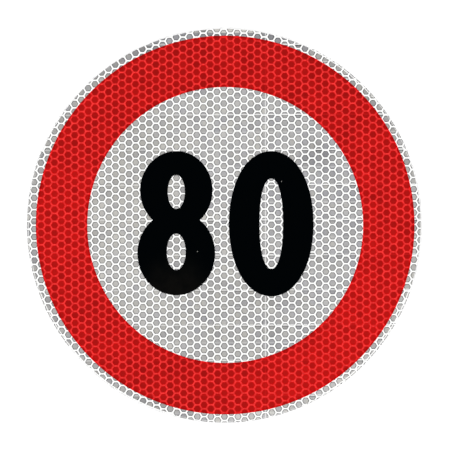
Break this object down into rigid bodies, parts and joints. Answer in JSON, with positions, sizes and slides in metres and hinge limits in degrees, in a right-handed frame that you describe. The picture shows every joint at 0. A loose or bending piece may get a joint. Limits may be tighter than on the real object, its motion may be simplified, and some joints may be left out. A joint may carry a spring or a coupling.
{
  "type": "speed limit disc sticker",
  "caption": "Round self-adhesive speed disc of honeycomb reflective sheeting, with a red printed ring and the black numerals 80 on a white field.",
  "frame": {"origin": "middle of the flat adhesive back, at the centre of the die-cut disc", "axes": "+Z is the way the printed face looks, +Y is the numerals' up, +X is to the right of the numerals"},
  "size_m": [0.2, 0.2, 0.0005],
  "materials": {
    "reflective_face": "clear glossy film over white honeycomb cells with grey floors",
    "red_print": "transparent red ink, glossy, with the honeycomb showing through",
    "black_print": "opaque black ink, satin"
  },
  "bodies": {
    "root": {"reflective_sheet": "reflective_face", "red_ring": "red_print", "numeral_eight": "black_print", "numeral_zero": "black_print"}
  },
  "joints": []
}
